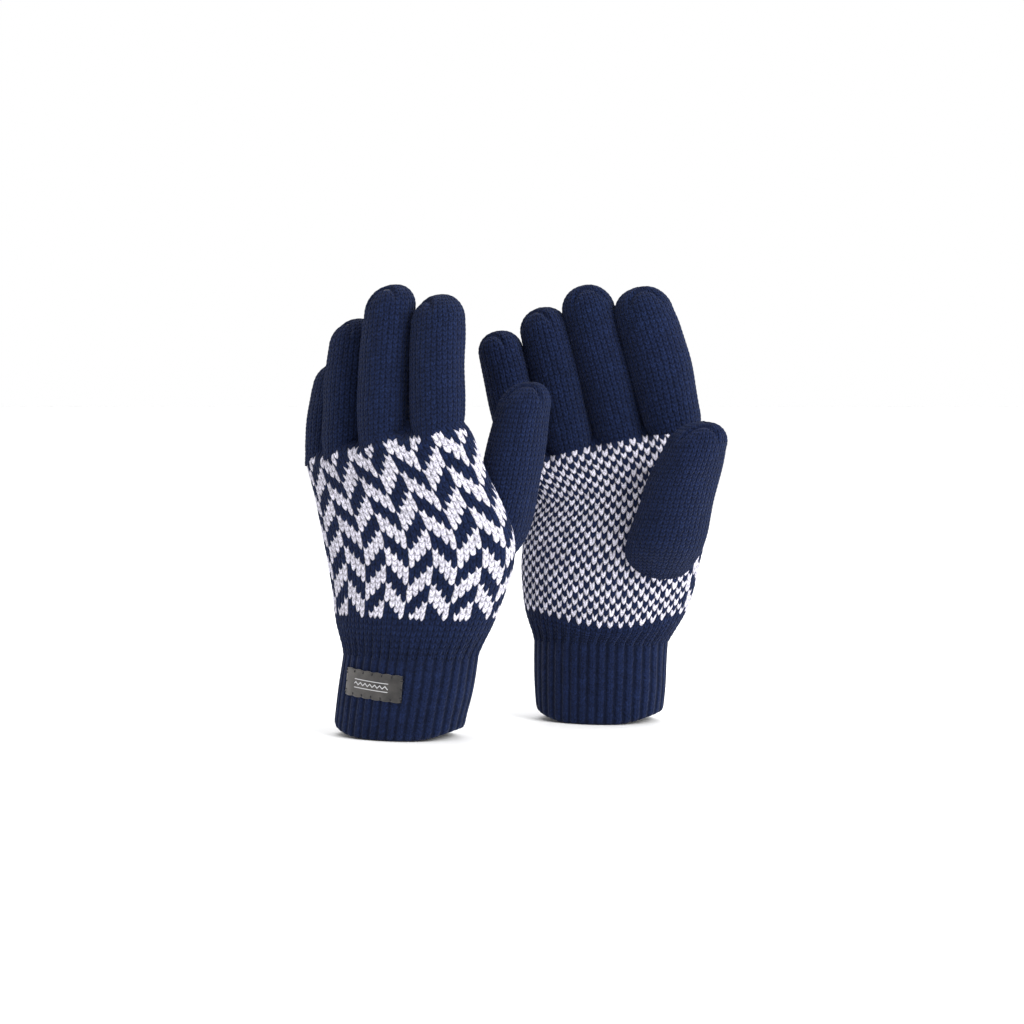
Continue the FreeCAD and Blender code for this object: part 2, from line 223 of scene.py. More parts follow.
def knitMaterial(name, pattern=None, rib=False):
    material = bpy.data.materials.new(name)
    material.use_nodes = True
    tree = material.node_tree
    shader = tree.nodes["Principled BSDF"]
    shader.inputs["Roughness"].default_value = yarn["roughness"]
    shader.inputs["Specular IOR Level"].default_value = 0.1
    shader.inputs["Sheen Weight"].default_value = yarn["sheen"]
    shader.inputs["Sheen Roughness"].default_value = 0.5
    shader.inputs["Sheen Tint"].default_value = yarn["sheenTint"]
    uv = tree.nodes.new("ShaderNodeUVMap")
    uv.uv_map = "stitch"
    parts = tree.nodes.new("ShaderNodeSeparateXYZ")
    tree.links.new(uv.outputs[0], parts.inputs[0])
    wale, course = parts.outputs[0], parts.outputs[1]
    across = mathNode(tree, "FRACT", wale)
    if rib:
        across = mathNode(tree, "MULTIPLY", across, 1 / cuff["knitShare"])
    leg = mathNode(tree, "ABSOLUTE", mathNode(tree, "SUBTRACT", across, 0.5))
    along = mathNode(tree, "SUBTRACT", course, mathNode(tree, "MULTIPLY", leg, stitch["vSlope"]))
    row = mathNode(tree, "FLOOR", along)

    # Uneven yarn: slow mottling, single stitches a little lighter or darker, and fine fibres
    coords = tree.nodes.new("ShaderNodeTexCoord")
    mottle = noiseNode(tree, coords, 230, 3)
    fibre = noiseNode(tree, coords, 1500, 4)
    colour = tree.nodes.new("ShaderNodeMix")
    colour.data_type = "RGBA"
    colour.inputs["A"].default_value = (*yarn["navy"], 1)
    colour.inputs["B"].default_value = (*yarn["white"], 1)
    colour.inputs["Factor"].default_value = 0
    if pattern:
        tree.links.new(pattern(tree, wale, row), colour.inputs["Factor"])

    # Painted shade: the gaps between the stitches are darker than their crowns, from the crown height that
    # also drives the bump
    gap = mathNode(tree, "POWER", mathNode(tree, "MULTIPLY", leg, 2.0), 3.0)
    dash = mathNode(tree, "SINE", mathNode(tree, "MULTIPLY", along, math.pi))
    dash = mathNode(tree, "MULTIPLY_ADD", mathNode(tree, "MULTIPLY", dash, dash), -0.4, 1.0)
    cord = mathNode(tree, "SUBTRACT", 1.0, mathNode(tree, "MULTIPLY", gap, dash))
    split = mathNode(tree, "SMOOTH_MIN", mathNode(tree, "MULTIPLY", leg, 9.0), 1.0, 0.2)
    split = mathNode(tree, "SUBTRACT", 1.0, split)
    bead = mathNode(tree, "ABSOLUTE", mathNode(tree, "SINE", mathNode(tree, "MULTIPLY", along, math.pi)))
    bead = mathNode(tree, "POWER", bead, 0.5)
    depth = 0.4 if rib else 0.75
    crown = mathNode(tree, "MULTIPLY", cord, mathNode(tree, "MULTIPLY_ADD", bead, depth, 1 - depth))
    crown = mathNode(tree, "MAXIMUM", crown, 0.0)
    crown = mathNode(tree, "SUBTRACT", crown, mathNode(tree, "MULTIPLY", split, 0.3))
    cell = tree.nodes.new("ShaderNodeCombineXYZ")
    tree.links.new(mathNode(tree, "FLOOR", wale), cell.inputs[0])
    tree.links.new(row, cell.inputs[1])
    single = tree.nodes.new("ShaderNodeTexWhiteNoise")
    single.noise_dimensions = "2D"
    tree.links.new(cell.outputs[0], single.inputs["Vector"])
    toneAndShade = mathNode(tree, "MULTIPLY_ADD", mottle, 0.7, 0.65)
    fuzz = mathNode(tree, "MAXIMUM", mathNode(tree, "MULTIPLY_ADD", fibre, 2.6, -0.3), 0.25)
    toneAndShade = mathNode(tree, "MULTIPLY", toneAndShade, fuzz)
    toneAndShade = mathNode(tree, "MULTIPLY", toneAndShade, mathNode(tree, "MULTIPLY_ADD", single.outputs[0], 0.22, 0.89))
    # Painted shade in the gaps between stitches: the colour is multiplied down where the crown height is low
    deep, lit = (0.52, 0.6) if rib else (0.24, 0.98)
    toneAndShade = mathNode(tree, "MULTIPLY", toneAndShade, mathNode(tree, "MULTIPLY_ADD", crown, lit, deep))
    if pattern:  # painted shade in the rib valleys, for a few rows above the cuff
        phase = mathNode(tree, "MULTIPLY_ADD", wale, math.pi * cuff["ribs"] / chart["wales"], -0.37 * math.pi)
        valleyShade = mathNode(tree, "POWER", mathNode(tree, "ABSOLUTE", mathNode(tree, "SINE", phase)), 5.0)
        near = mathNode(tree, "MAXIMUM", mathNode(tree, "MULTIPLY_ADD", course, -0.2, 1.0), 0.0)
        valleyShade = mathNode(tree, "MULTIPLY", mathNode(tree, "MULTIPLY", valleyShade, near), -0.5)
        toneAndShade = mathNode(tree, "MULTIPLY", toneAndShade, mathNode(tree, "ADD", valleyShade, 1.0))
    toneShadeColour = tree.nodes.new("ShaderNodeCombineColor")
    for socket in toneShadeColour.inputs:
        tree.links.new(toneAndShade, socket)
    shade = tree.nodes.new("ShaderNodeMix")
    shade.data_type = "RGBA"
    shade.blend_type = "MULTIPLY"
    shade.inputs["Factor"].default_value = 1
    tree.links.new(colour.outputs["Result"], shade.inputs["A"])
    tree.links.new(toneShadeColour.outputs[0], shade.inputs["B"])
    tree.links.new(shade.outputs["Result"], shader.inputs["Base Color"])

    bump = tree.nodes.new("ShaderNodeBump")
    bump.inputs["Strength"].default_value = 0.85
    bump.inputs["Distance"].default_value = 0.0007
    tree.links.new(mathNode(tree, "MULTIPLY_ADD", fibre, 0.6, crown), bump.inputs["Height"])
    tree.links.new(bump.outputs[0], shader.inputs["Normal"])
    return material


def handChart(side):
    def build(tree, wale, row):
        column = mathNode(tree, "FLOOR", wale)
        k = mathNode(tree, "MODULO", column, chart["repeatAcross"])
        low = mathNode(tree, "LESS_THAN", k, 3.5)

        def white(value):
            rest = mathNode(tree, "MODULO", mathNode(tree, "ADD", value, 602), chart["repeatUp"])
            return mathNode(tree, "LESS_THAN", rest, 2.5)

        down = white(mathNode(tree, "ADD", row, k))
        up = white(mathNode(tree, "SUBTRACT", row, mathNode(tree, "SUBTRACT", k, 4)))
        chevron = mathNode(tree, "ADD", mathNode(tree, "MULTIPLY", low, down),
                           mathNode(tree, "MULTIPLY", mathNode(tree, "SUBTRACT", 1.0, low), up))
        dots = mathNode(tree, "MODULO", mathNode(tree, "ADD", mathNode(tree, "ADD", row, column), 600), 2)
        dots = mathNode(tree, "LESS_THAN", dots, 0.5)
        palm = mathNode(tree, "MULTIPLY", mathNode(tree, "GREATER_THAN", wale, chart["palmFrom"]),
                        mathNode(tree, "LESS_THAN", wale, chart["palmTo"]))
        mask = mathNode(tree, "ADD", mathNode(tree, "MULTIPLY", palm, dots),
                        mathNode(tree, "MULTIPLY", mathNode(tree, "SUBTRACT", 1.0, palm), chevron))
        above = mathNode(tree, "GREATER_THAN", row, chart["firstRow"][side] - 0.5)
        below = mathNode(tree, "LESS_THAN", row, chart["lastRow"][side] + 0.5)
        return mathNode(tree, "MULTIPLY", mask, mathNode(tree, "MULTIPLY", above, below))
    return build


plainKnit = knitMaterial("navyKnit")
ribKnit = knitMaterial("navyRib", rib=True)
patternKnit = {side: knitMaterial(side + "PatternKnit", handChart(side)) for side in gloves}


def softMaterial(name, colour, roughness, sheen, grain, strength):
    material = bpy.data.materials.new(name)
    material.use_nodes = True
    tree = material.node_tree
    shader = tree.nodes["Principled BSDF"]
    shader.inputs["Roughness"].default_value = roughness
    shader.inputs["Sheen Weight"].default_value = sheen
    shader.inputs["Specular IOR Level"].default_value = 0.2
    coords = tree.nodes.new("ShaderNodeTexCoord")
    noise = noiseNode(tree, coords, grain, 4)
    ramp = tree.nodes.new("ShaderNodeValToRGB")
    ramp.color_ramp.elements[0].position = 0.3
    ramp.color_ramp.elements[0].color = (*[c * 0.6 for c in colour], 1)
    ramp.color_ramp.elements[1].position = 0.75
    ramp.color_ramp.elements[1].color = (*[min(c * 1.4, 1) for c in colour], 1)
    tree.links.new(noise, ramp.inputs[0])
    tree.links.new(ramp.outputs[0], shader.inputs["Base Color"])
    bump = tree.nodes.new("ShaderNodeBump")
    bump.inputs["Strength"].default_value = strength
    bump.inputs["Distance"].default_value = 0.0008
    tree.links.new(noise, bump.inputs["Height"])
    tree.links.new(bump.outputs[0], shader.inputs["Normal"])
    return material


fleece = softMaterial("liningFleece", (0.018, 0.022, 0.045), 0.95, 0.35, 900, 0.8)
thread = softMaterial("sewingThread", (0.010, 0.010, 0.014), 0.55, 0.1, 2500, 0.4)
print("materials ready")


# Hand
def curveThrough(knots, at):  # smooth values through rows of knots, the first column being the position
    h = knots[:, 0]
    i = int(np.clip(np.searchsorted(h, at) - 1, 0, len(h) - 2))
    span = h[i + 1] - h[i]
    t = (at - h[i]) / span
    before, after = knots[max(i - 1, 0)], knots[min(i + 2, len(h) - 1)]
    m1 = (knots[i + 1] - before) / (h[i + 1] - before[0]) * span
    m2 = (after - knots[i]) / (after[0] - h[i]) * span
    return ((2 * t ** 3 - 3 * t ** 2 + 1) * knots[i] + (t ** 3 - 2 * t ** 2 + t) * m1
            + (-2 * t ** 3 + 3 * t ** 2) * knots[i + 1] + (t ** 3 - t ** 2) * m2)


# Each stall: where its root is (across, forward), its tip (across, forward, up), width and depth,
# and the fold over its closed tip (turn in degrees, distance off the middle)
fingers = {
    "left": {
        "index": {"root": (20.2, 0.0), "tip": (16.9, 12.0, 254.0), "size": (31.0, 29.0),
                  "fold": (-24, -8.0)},
        "middle": {"root": (-13.3, 0.0), "tip": (-13.6, 14.0, 260.0), "size": (29.2, 28.4),
                   "fold": (22, -7.5)},
        "ring": {"root": (-41.6, 12.0), "tip": (-42.9, 30.0, 240.0), "size": (27.8, 27.2),
                 "fold": (-15, -7.0)},
        "little": {"root": (-62.9, 31.0), "tip": (-66.2, 56.0, 214.0), "size": (24.4, 24.0),
                   "fold": (10, -6.0)},
    },
    "right": {
        "index": {"root": (40.0, 0.0), "tip": (17.5, 6.0, 259.0), "size": (31.0, 29.0),
                  "fold": (-34, 7.5), "swell": 3.0},
        "middle": {"root": (8.0, 0.0), "tip": (-14.4, 8.0, 260.0), "size": (29.2, 28.4),
                   "fold": (-30, 7.5)},
        "ring": {"root": (-22.0, 4.0), "tip": (-39.8, 11.0, 247.0), "size": (27.8, 27.2),
                 "fold": (24, 6.5)},
        "little": {"root": (-49.5, 11.0), "tip": (-64.9, 17.0, 233.0), "size": (24.4, 24.0),
                   "fold": (28, 6.0)},
    },
}


def rootFrame(side):  # unit vectors along the knuckles and towards the palm
    turn = math.radians(gloves[side]["sections"][-1][5])
    return np.array([math.cos(turn), -math.sin(turn)]), np.array([math.sin(turn), math.cos(turn)])


def rootHeight(side, across, forward):
    top = gloves[side]["sections"][-1]
    along, _ = rootFrame(side)
    reach = (across - top[1]) * along[0] + (forward - top[2]) * along[1]
    return top[0] + math.tan(math.radians(gloves[side]["rootSlope"])) * reach


def evenLoop(back, palm, count):  # the back and the palm each get half of the points, evenly spaced
    out = []
    for line in (back, palm):
        run = np.concatenate([[0], np.cumsum(np.linalg.norm(np.diff(line[:, :2], axis=0), axis=1))])
        want = np.linspace(0, run[-1], count // 2, endpoint=False)
        out.append(np.stack([np.interp(want, run, line[:, i]) for i in range(line.shape[1])], -1))
    return np.concatenate(out)


def ovalLoop(width, depth, count):
    angle = np.linspace(0, math.pi, 361)
    back = np.stack([-width / 2 * np.cos(angle), -depth / 2 * np.sin(angle)], -1)
    palm = np.stack([width / 2 * np.cos(angle), depth / 2 * np.sin(angle)], -1)
    return evenLoop(back, palm, count)


def knuckleLoop(side, count, grow):
    along, toPalm = rootFrame(side)
    top = gloves[side]["sections"][-1]
    ovals = []
    for finger in fingers[side].values():
        d = np.array([finger["root"][0] - top[1], finger["root"][1] - top[2]])
        ovals.append((d @ along, d @ toPalm, finger["size"][0] / 2 + grow, finger["size"][1] / 2 + grow))
    low, high = min(o[0] - o[2] for o in ovals), max(o[0] + o[2] for o in ovals)
    p = (low + high) / 2 - (high - low) / 2 * np.cos(np.linspace(0, math.pi, 721))
    lines = {}
    for sign in (-1, 1):
        reach = np.full_like(p, -99.0)
        for o in ovals:
            inside = 1 - ((p - o[0]) / o[2]) ** 2
            on = inside >= -1e-9
            reach[on] = np.maximum(reach[on], sign * o[1] + o[3] * np.sqrt(np.clip(inside[on], 0, 1)))
        known = reach > -90
        reach = np.interp(p, p[known], reach[known])
        # The taut outline over all four knuckles
        keep = []
        for point in zip(p, reach):
            while len(keep) > 1 and ((keep[-1][0] - keep[-2][0]) * (point[1] - keep[-2][1])
                                     >= (keep[-1][1] - keep[-2][1]) * (point[0] - keep[-2][0])):
                keep.pop()
            keep.append(point)
        keep = np.array(keep)
        taut = np.interp(p, keep[:, 0], keep[:, 1])
        grooved = np.maximum(reach, taut - 9)
        for _ in range(6):
            grooved[1:-1] = (grooved[:-2] + 2 * grooved[1:-1] + grooved[2:]) / 4
        lines[sign] = np.stack([p, sign * taut, sign * grooved], -1)
    return evenLoop(lines[-1], lines[1][::-1], count)


def placeLoop(row, loop, height):
    turn = math.radians(row[5])
    u = row[1] + loop[:, 0] * math.cos(turn) + loop[:, 1] * math.sin(turn)
    v = row[2] - loop[:, 0] * math.sin(turn) + loop[:, 1] * math.cos(turn)
    return np.stack([u, v, height], -1)


hand = {
    "bottom": 46.4, "settleOver": 34.0, "grooveOver": 10.0, "grow": 0.5, "tuck": 1.5, "tuckOver": 9.0,
}


def handSurface(side, cols, rowsUp, inset):
    sections = np.array(gloves[side]["sections"])
    top = sections[-1]
    slope = math.tan(math.radians(gloves[side]["rootSlope"]))
    knuckles = knuckleLoop(side, cols, hand["grow"] - inset)
    tucked = knuckleLoop(side, cols, hand["grow"] - hand["tuck"] - inset)
    grid = np.zeros((rowsUp, cols, 3))
    for j in range(rowsUp):
        height = hand["bottom"] + (top[0] - hand["bottom"]) * j / (rowsUp - 1)
        row = curveThrough(sections, max(height, 47.0))
        loop = ovalLoop(row[3] - 2 * inset, row[4] - 2 * inset, cols)
        settle = float(smoothStep((height - top[0] + hand["settleOver"]) / hand["settleOver"]))
        groove = float(smoothStep((height - top[0] + hand["grooveOver"]) / hand["grooveOver"]))
        tuck = float(smoothStep((height - top[0] + hand["tuckOver"]) / hand["tuckOver"]))
        ring = knuckles * (1 - tuck) + tucked * tuck
        across = loop[:, 0] * (1 - settle) + ring[:, 0] * settle
        deep = ring[:, 1] * (1 - groove) + ring[:, 2] * groove
        forward = loop[:, 1] * (1 - settle) + deep * settle
        tilt = float(smoothStep((height - 95) / (top[0] - 95)))
        up = height + slope * across * tilt
        # The palm's rows hang lower in the middle
        hang = float(smoothStep((height - 46) / 20) * (1 - smoothStep((height - 62) / 75)))
        sag = gloves[side]["palmSag"] * hang
        up = up - sag * np.clip(forward / 20, 0, 1) * np.exp(-((across - 8) / 36) ** 2)
        grid[j] = placeLoop(row, np.stack([across, forward], -1), up)
    return grid


def hemLift(loop, height):  # the hem hangs lower at the front and back than at its sides
    side = np.abs(loop[:, 0]) / np.abs(loop[:, 0]).max()
    return cuff["sideLift"] * side ** 3 * (1 - float(smoothStep(height / cuff["liftFades"])))


def finish(piece, side, node):
    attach(piece, side + "_hand")
    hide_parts(side + "_" + node)
    return piece


def makeHand(side):
    top = gloves[side]["sections"][-1]
    cols = chart["wales"] * stitch["pointsAcross"]
    courses = round((top[0] - hand["bottom"]) / stitch["course"])
    grid = handSurface(side, cols, courses * stitch["pointsUp"] + 1, 0)
    under = [grid[0] + (grid[0].mean(0) - grid[0]) * share + np.array([0, 0, rise])
             for share, rise in ((0.055, 1.6), (0.03, 0.1), (0.01, -0.5))]
    lip = []
    for inset, rise in ((0.9, 1.2), (3.0, 3.6), (7.0, 5.0)):
        flat = knuckleLoop(side, cols, hand["grow"] - hand["tuck"] - inset * 0.8)
        slope = math.tan(math.radians(gloves[side]["rootSlope"]))
        lip.append(placeLoop(top, flat[:, [0, 2]], top[0] + rise + slope * flat[:, 0]))
    points = toWorld(side, np.concatenate([np.array(under), grid, np.array(lip)]))
    wale = np.tile(np.arange(cols) / stitch["pointsAcross"], (len(points), 1))
    course = np.tile(((np.arange(len(points)) - len(under)) / stitch["pointsUp"])[:, None], (1, cols))
    wale, course = wale + wander(points, 5, 0.22), course + wander(points, 6, 0.3)
    # The ribs run on a little way up into the hand
    ribs = ribHeight(np.tile(np.arange(cols) / cols * cuff["ribs"], (len(points), 1)), course) - 0.5
    fade = (1 - smoothStep((points[..., 2] - 0.053) / 0.012)) * cuff["ribDepth"] * 1.5
    shape = stitchHeight(wale, course) * stitch["relief"] + unevenness(points, 3, 0.0006) + ribs * fade
    points = points + gridNormals(side, points) * shape[..., None]
    piece = tubeObject(side, side + "HandKnit", points, wale, course, patternKnit[side], closeTop=True)
    return finish(piece, side, "hand_knit")


def makeCuff(side):
    hem, wrist = gloves[side]["hem"], gloves[side]["sections"][0]
    cols = cuff["ribs"] * cuff["pointsPerRib"]
    rows = [(cuff["fold"], 14.0), (cuff["fold"], 9.0), (cuff["fold"] - 0.1, 4.0), (2.9, 1.5), (2.0, 0.35),
            (1.0, 0.0), (0.1, 0.6), (-0.45, 2.2)]
    for height in np.linspace(3.6, 47.6, 62):
        rows.append((-cuff["swell"] - 0.3 * math.sin(math.pi * height / 48), height))
    rows += [(0.4, 48.6), (1.8, 50.0), (2.6, 52.0)]
    heights = np.array([row[1] for row in rows])
    grid = np.zeros((len(rows), cols, 3))
    for j, (inset, height) in enumerate(rows):
        share = min(height / cuff["top"], 1.0)
        u = hem[0] + (wrist[1] - hem[0]) * share
        loop = ovalLoop(hem[1] + (wrist[3] - hem[1]) * share - 2 * inset,
                        hem[2] + (wrist[4] - hem[2]) * share - 2 * inset, cols)
        grid[j, :, 0], grid[j, :, 1] = u + loop[:, 0], loop[:, 1]
        grid[j, :, 2] = height + hemLift(loop, height)
    points = toWorld(side, grid)
    wale = np.tile(np.arange(cols) / cuff["pointsPerRib"], (len(points), 1))
    course = np.tile((heights / stitch["course"])[:, None], (1, cols))
    depth = np.where(np.arange(len(rows)) < 5, 0.0002, cuff["ribDepth"]) * np.clip(heights / 5 + 0.35, 0, 1)
    shape = (ribHeight(wale, course) - 0.55) * depth[:, None] + unevenness(points, 8, 0.0007)
    points = points + gridNormals(side, points) * shape[..., None]
    points[..., 2] = np.maximum(points[..., 2], 0)  # the hem rests on the floor
    wale, course = wale + wander(points, 9, 0.1), course + wander(points, 10, 0.3)
    piece = tubeObject(side, side + "RibbedCuff", points, wale, course, ribKnit)
    return finish(piece, side, "ribbed_cuff")


# Stalls
stall = {
    "sink": 10.0, "bow": 1.6, "bendBelow": 9.0, "bendAbove": 16.0,
    "foldDepth": 0.0019, "foldWidth": 1.4, "pleat": 0.0007,
}


def courseRows(length):  # mesh rows in a length of stall, a whole number of courses
    return round(length / stitch["stallCourse"]) * stitch["pointsUp"]


def ringsAlong(knots, count):  # rows of (across, forward, up, half width, half depth) at even steps
    knots = np.array(knots, float)
    run = np.concatenate([[0], np.cumsum(np.linalg.norm(np.diff(knots[:, :3], axis=0), axis=1))])
    table = np.concatenate([run[:, None], knots], 1)
    return [curveThrough(table, at)[1:].tolist() for at in np.linspace(0, run[-1], count)]


def domeRings(last, direction, radius, steps):  # rounds a stall off to its drawn-up tip
    last = np.array(last)
    out = []
    for i in range(1, steps + 1):
        angle = math.pi / 2 * min(i / steps, 0.965)
        point = last[:3] + direction * radius * math.sin(angle)
        out.append([*point, last[3] * math.cos(angle), last[4] * math.cos(angle)])
    return out


def ringGrid(rings, turn, slope, cols, inset=0.0):
    angle = np.arange(cols) / cols * 2 * math.pi
    grid = np.zeros((len(rings), cols, 3))
    for j, (u, v, z, a, b) in enumerate(rings):
        p = -max(a - inset, a * 0.05) * np.cos(angle)
        n = -max(b - inset, b * 0.05) * np.sin(angle)
        grid[j, :, 0] = u + p * math.cos(turn) + n * math.sin(turn)
        grid[j, :, 1] = v - p * math.sin(turn) + n * math.cos(turn)
        grid[j, :, 2] = z + slope * p
    return grid


def dressStall(side, name, rings, turn, slope, wales, fold, seed):
    cols = wales * stitch["pointsAcross"]
    rings = np.array(rings)
    grid = ringGrid(rings, turn, slope, cols)
    points = toWorld(side, grid)
    wale = np.tile(np.arange(cols) / stitch["pointsAcross"], (len(points), 1))
    course = np.tile((np.arange(len(points)) / stitch["pointsUp"])[:, None], (1, cols))
    wale, course = wale + wander(points, seed + 40, 0.22), course + wander(points, seed + 60, 0.3)
    thin = np.clip(rings[:, 3] / 6, 0, 1)[:, None]
    pleat = np.sin(wale * math.pi) ** 2 * np.clip(1 - rings[:, 3] / 9, 0, 1)[:, None] * stall["pleat"]
    # The fold that the closed tip leaves, running over the end
    angle = np.arange(cols) / cols * 2 * math.pi
    p, n = -rings[:, 3:4] * np.cos(angle), -rings[:, 4:5] * np.sin(angle)
    tilt = math.radians(fold[0])
    off = n * math.cos(tilt) - p * math.sin(tilt) - fold[1] - 0.03 * p * p * np.sign(fold[1])
    drop = np.linalg.norm(rings[-1, :3] - rings[:, :3], axis=1)[:, None]
    crease = np.exp(-(off / stall["foldWidth"]) ** 2) * (1 - smoothStep((drop - 6) / 9)) * stall["foldDepth"]
    shape = (stitchHeight(wale, course) * stitch["relief"] * thin - pleat - crease
             + unevenness(points, seed, 0.0007))
    points = points + gridNormals(side, points) * shape[..., None]
    piece = tubeObject(side, side + name.capitalize() + "Stall", points, wale, course, plainKnit,
                       closeTop=True)
    body = side + "_" + name
    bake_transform(piece)
    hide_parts(body + "_stall")
    return piece


lining = {"outer": 2.7, "inner": 4.9, "bottom": 8.0, "around": 72, "step": 3.0}


def makeStallLining(side, name, rings, turn, slope):
    every = max(int(lining["step"] / stitch["course"] * stitch["pointsUp"] / 2), 1)
    rings = rings[::every]
    skin = ringGrid(rings, turn, slope, lining["around"], lining["outer"])
    inner = ringGrid(rings[:-2], turn, slope, lining["around"], lining["inner"])
    grid = np.concatenate([inner[::-1], skin])
    points = toWorld(side, grid)
    wale = np.tile(np.arange(lining["around"]) / 6, (len(points), 1))
    course = np.tile((np.arange(len(points)) / 2)[:, None], (1, lining["around"]))
    piece = tubeObject(side, side + name.capitalize() + "Lining", points, wale, course, fleece,
                       closeTop=True)
    body = side + "_" + name
    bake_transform(piece)
    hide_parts(body + "_lining")
    return piece


tie = {"radius": 0.00135, "yarn": 0.00048, "sink": 0.0007}


def makeTipTie(side, name, tip, direction):
    bpy.ops.object.select_all(action="DESELECT")
    facing = toWorld(side, tip + direction) - toWorld(side, tip)
    facing = Vector(facing).normalized()
    centre = Vector(toWorld(side, tip)) - facing * tie["sink"]
    bpy.ops.mesh.primitive_torus_add(major_radius=tie["radius"], minor_radius=tie["yarn"], major_segments=28,
                                     minor_segments=10, location=centre,
                                     rotation=facing.to_track_quat("Z", "Y").to_euler())
    piece = bpy.context.object
    piece.name = side + name.capitalize() + "TipTie"
    bpy.ops.object.transform_apply(location=True, rotation=True, scale=True)
    for vertex in piece.data.vertices:  # drawn up, so the loop is not quite round
        away = vertex.co - centre
        swirl = math.atan2(away.dot(facing.orthogonal()), away.dot(facing.cross(facing.orthogonal())))
        vertex.co = centre + away * (1 + 0.12 * math.sin(3 * swirl + len(name)))
    bpy.ops.object.shade_smooth()
    piece.data.materials.append(plainKnit)
    piece.data.uv_layers[0].name = "stitch"
    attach(piece, side + "_" + name)
    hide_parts(side + "_" + name + "_tip_tie")
    return piece


def makeFinger(side, name, seed):
    finger = fingers[side][name]
    (u, v), (width, depth) = finger["root"], finger["size"]
    plump = gloves[side]["plump"]
    root = np.array([u, v, rootHeight(side, u, v)])
    tip = np.array([*finger["tip"][:2], finger["tip"][2] + 0.4])
    length = np.linalg.norm(tip - root)
    direction = (tip - root) / length
    outwards, toPalm = rootFrame(side)
    swell = finger.get("swell", 0.0)
    radius = width / 2 + plump * 0.5
    knots = []
    for at, grow in ((-stall["sink"], -1.6), (-2.0, -0.3), (4.0, plump * 0.6), (length * 0.42, plump),
                     (length * 0.68, plump * 0.8), (length - radius, plump * 0.3)):
        point = root + direction * at
        bow = math.sin(math.pi * max(at, 0) / length)
        point[:2] += outwards * swell / 2 * bow - toPalm * stall["bow"] * bow
        knots.append([*point, width / 2 + grow + swell / 2 * bow, depth / 2 + grow * 0.6])
    rings = ringsAlong(knots, courseRows(length - radius + stall["sink"]) + 1)
    rings += domeRings(rings[-1], direction, radius, courseRows(radius * 1.57))
    turn = math.radians(gloves[side]["sections"][-1][5])
    slope = math.tan(math.radians(gloves[side]["rootSlope"]))
    wales = round(math.pi * (width + depth) / 2 / stitch["stallWale"])
    dressStall(side, name, rings, turn, slope, wales, finger["fold"], seed)
    makeStallLining(side, name, rings, turn, slope)
    makeTipTie(side, name, tip, direction)


# Thumb stalls: across, forward, up, width, depth from inside the hand to the tip
thumbs = {
    "left": {
        "rings": ((36.0, 6.0, 92.0, 28.0, 30.0), (47.0, 20.0, 114.0, 36.0, 38.0),
                  (53.0, 25.5, 140.0, 35.5, 38.0), (57.0, 28.0, 163.0, 34.0, 36.5),
                  (60.5, 29.5, 183.0, 31.5, 33.0), (65.0, 31.0, 204.0, 31.0, 32.0)),
        "fold": (15, -7.0), "bendBelow": 8.0, "bendAbove": 26.0,
    },
    "right": {
        "rings": ((30.0, 5.0, 86.0, 32.0, 26.0), (38.0, 21.0, 105.0, 45.0, 37.0),
                  (46.0, 31.0, 127.0, 43.5, 37.0), (52.5, 38.5, 146.0, 41.0, 36.0),
                  (59.0, 43.5, 160.0, 37.5, 34.5), (67.0, 48.0, 181.0, 36.0, 33.0)),
        "fold": (-20, 8.0), "bendBelow": 8.0, "bendAbove": 26.0,
    },
}


def makeThumb(side, seed):
    thumb = thumbs[side]
    table = thumb["rings"]
    knots = [[r[0], r[1], r[2], r[3] / 2, r[4] / 2] for r in table[:-1]]
    upper, tip = np.array(table[-2][:3]), np.array(table[-1][:3]) + np.array([0, 0, 0.4])
    direction = (tip - upper) / np.linalg.norm(tip - upper)
    radius = table[-1][4] / 2
    shoulder = tip - direction * radius
    if np.linalg.norm(shoulder - upper) > 3:
        knots.append([*shoulder, table[-1][3] / 2 * 0.99, table[-1][4] / 2 * 0.99])
    run = sum(np.linalg.norm(np.subtract(a[:3], b[:3])) for a, b in zip(knots, knots[1:]))
    rings = ringsAlong(knots, courseRows(run) + 1)
    rings += domeRings(rings[-1], direction, radius, courseRows(radius * 1.57))
    wales = round(math.pi * (table[2][3] + table[2][4]) / 2 / stitch["stallWale"])
    dressStall(side, "thumb", rings, 0.0, 0.0, wales, thumb["fold"], seed)
    makeStallLining(side, "thumb", rings, 0.0, 0.0)
    makeTipTie(side, "thumb", np.array(rings[-1][:3]) + direction * 0.3, direction)


def makeHandLining(side):
    hem, wrist = gloves[side]["hem"], gloves[side]["sections"][0]
    layers = []
    for inset in (lining["inner"], lining["outer"]):
        low = []
        for height in np.linspace(lining["bottom"], 44.0, 8):
            share = height / cuff["top"]
            loop = ovalLoop(hem[1] + (wrist[3] - hem[1]) * share - 2 * inset - 1.6,
                            hem[2] + (wrist[4] - hem[2]) * share - 2 * inset - 1.6, lining["around"])
            low.append(np.stack([hem[0] + (wrist[1] - hem[0]) * share + loop[:, 0], loop[:, 1],
                                 height + hemLift(loop, height)], -1))
        layers.append(np.concatenate([np.array(low), handSurface(side, lining["around"], 44, inset)]))
    grid = np.concatenate([layers[0][::-1], layers[1]])
    points = toWorld(side, grid)
    points = points + gridNormals(side, points) * unevenness(points, 21, 0.0005)[..., None]
    wale = np.tile(np.arange(lining["around"]) / 6, (len(points), 1))
    course = np.tile((np.arange(len(points)) / 2)[:, None], (1, lining["around"]))
    piece = tubeObject(side, side + "HandLining", points, wale, course, fleece, closeTop=True)
    return finish(piece, side, "hand_lining")


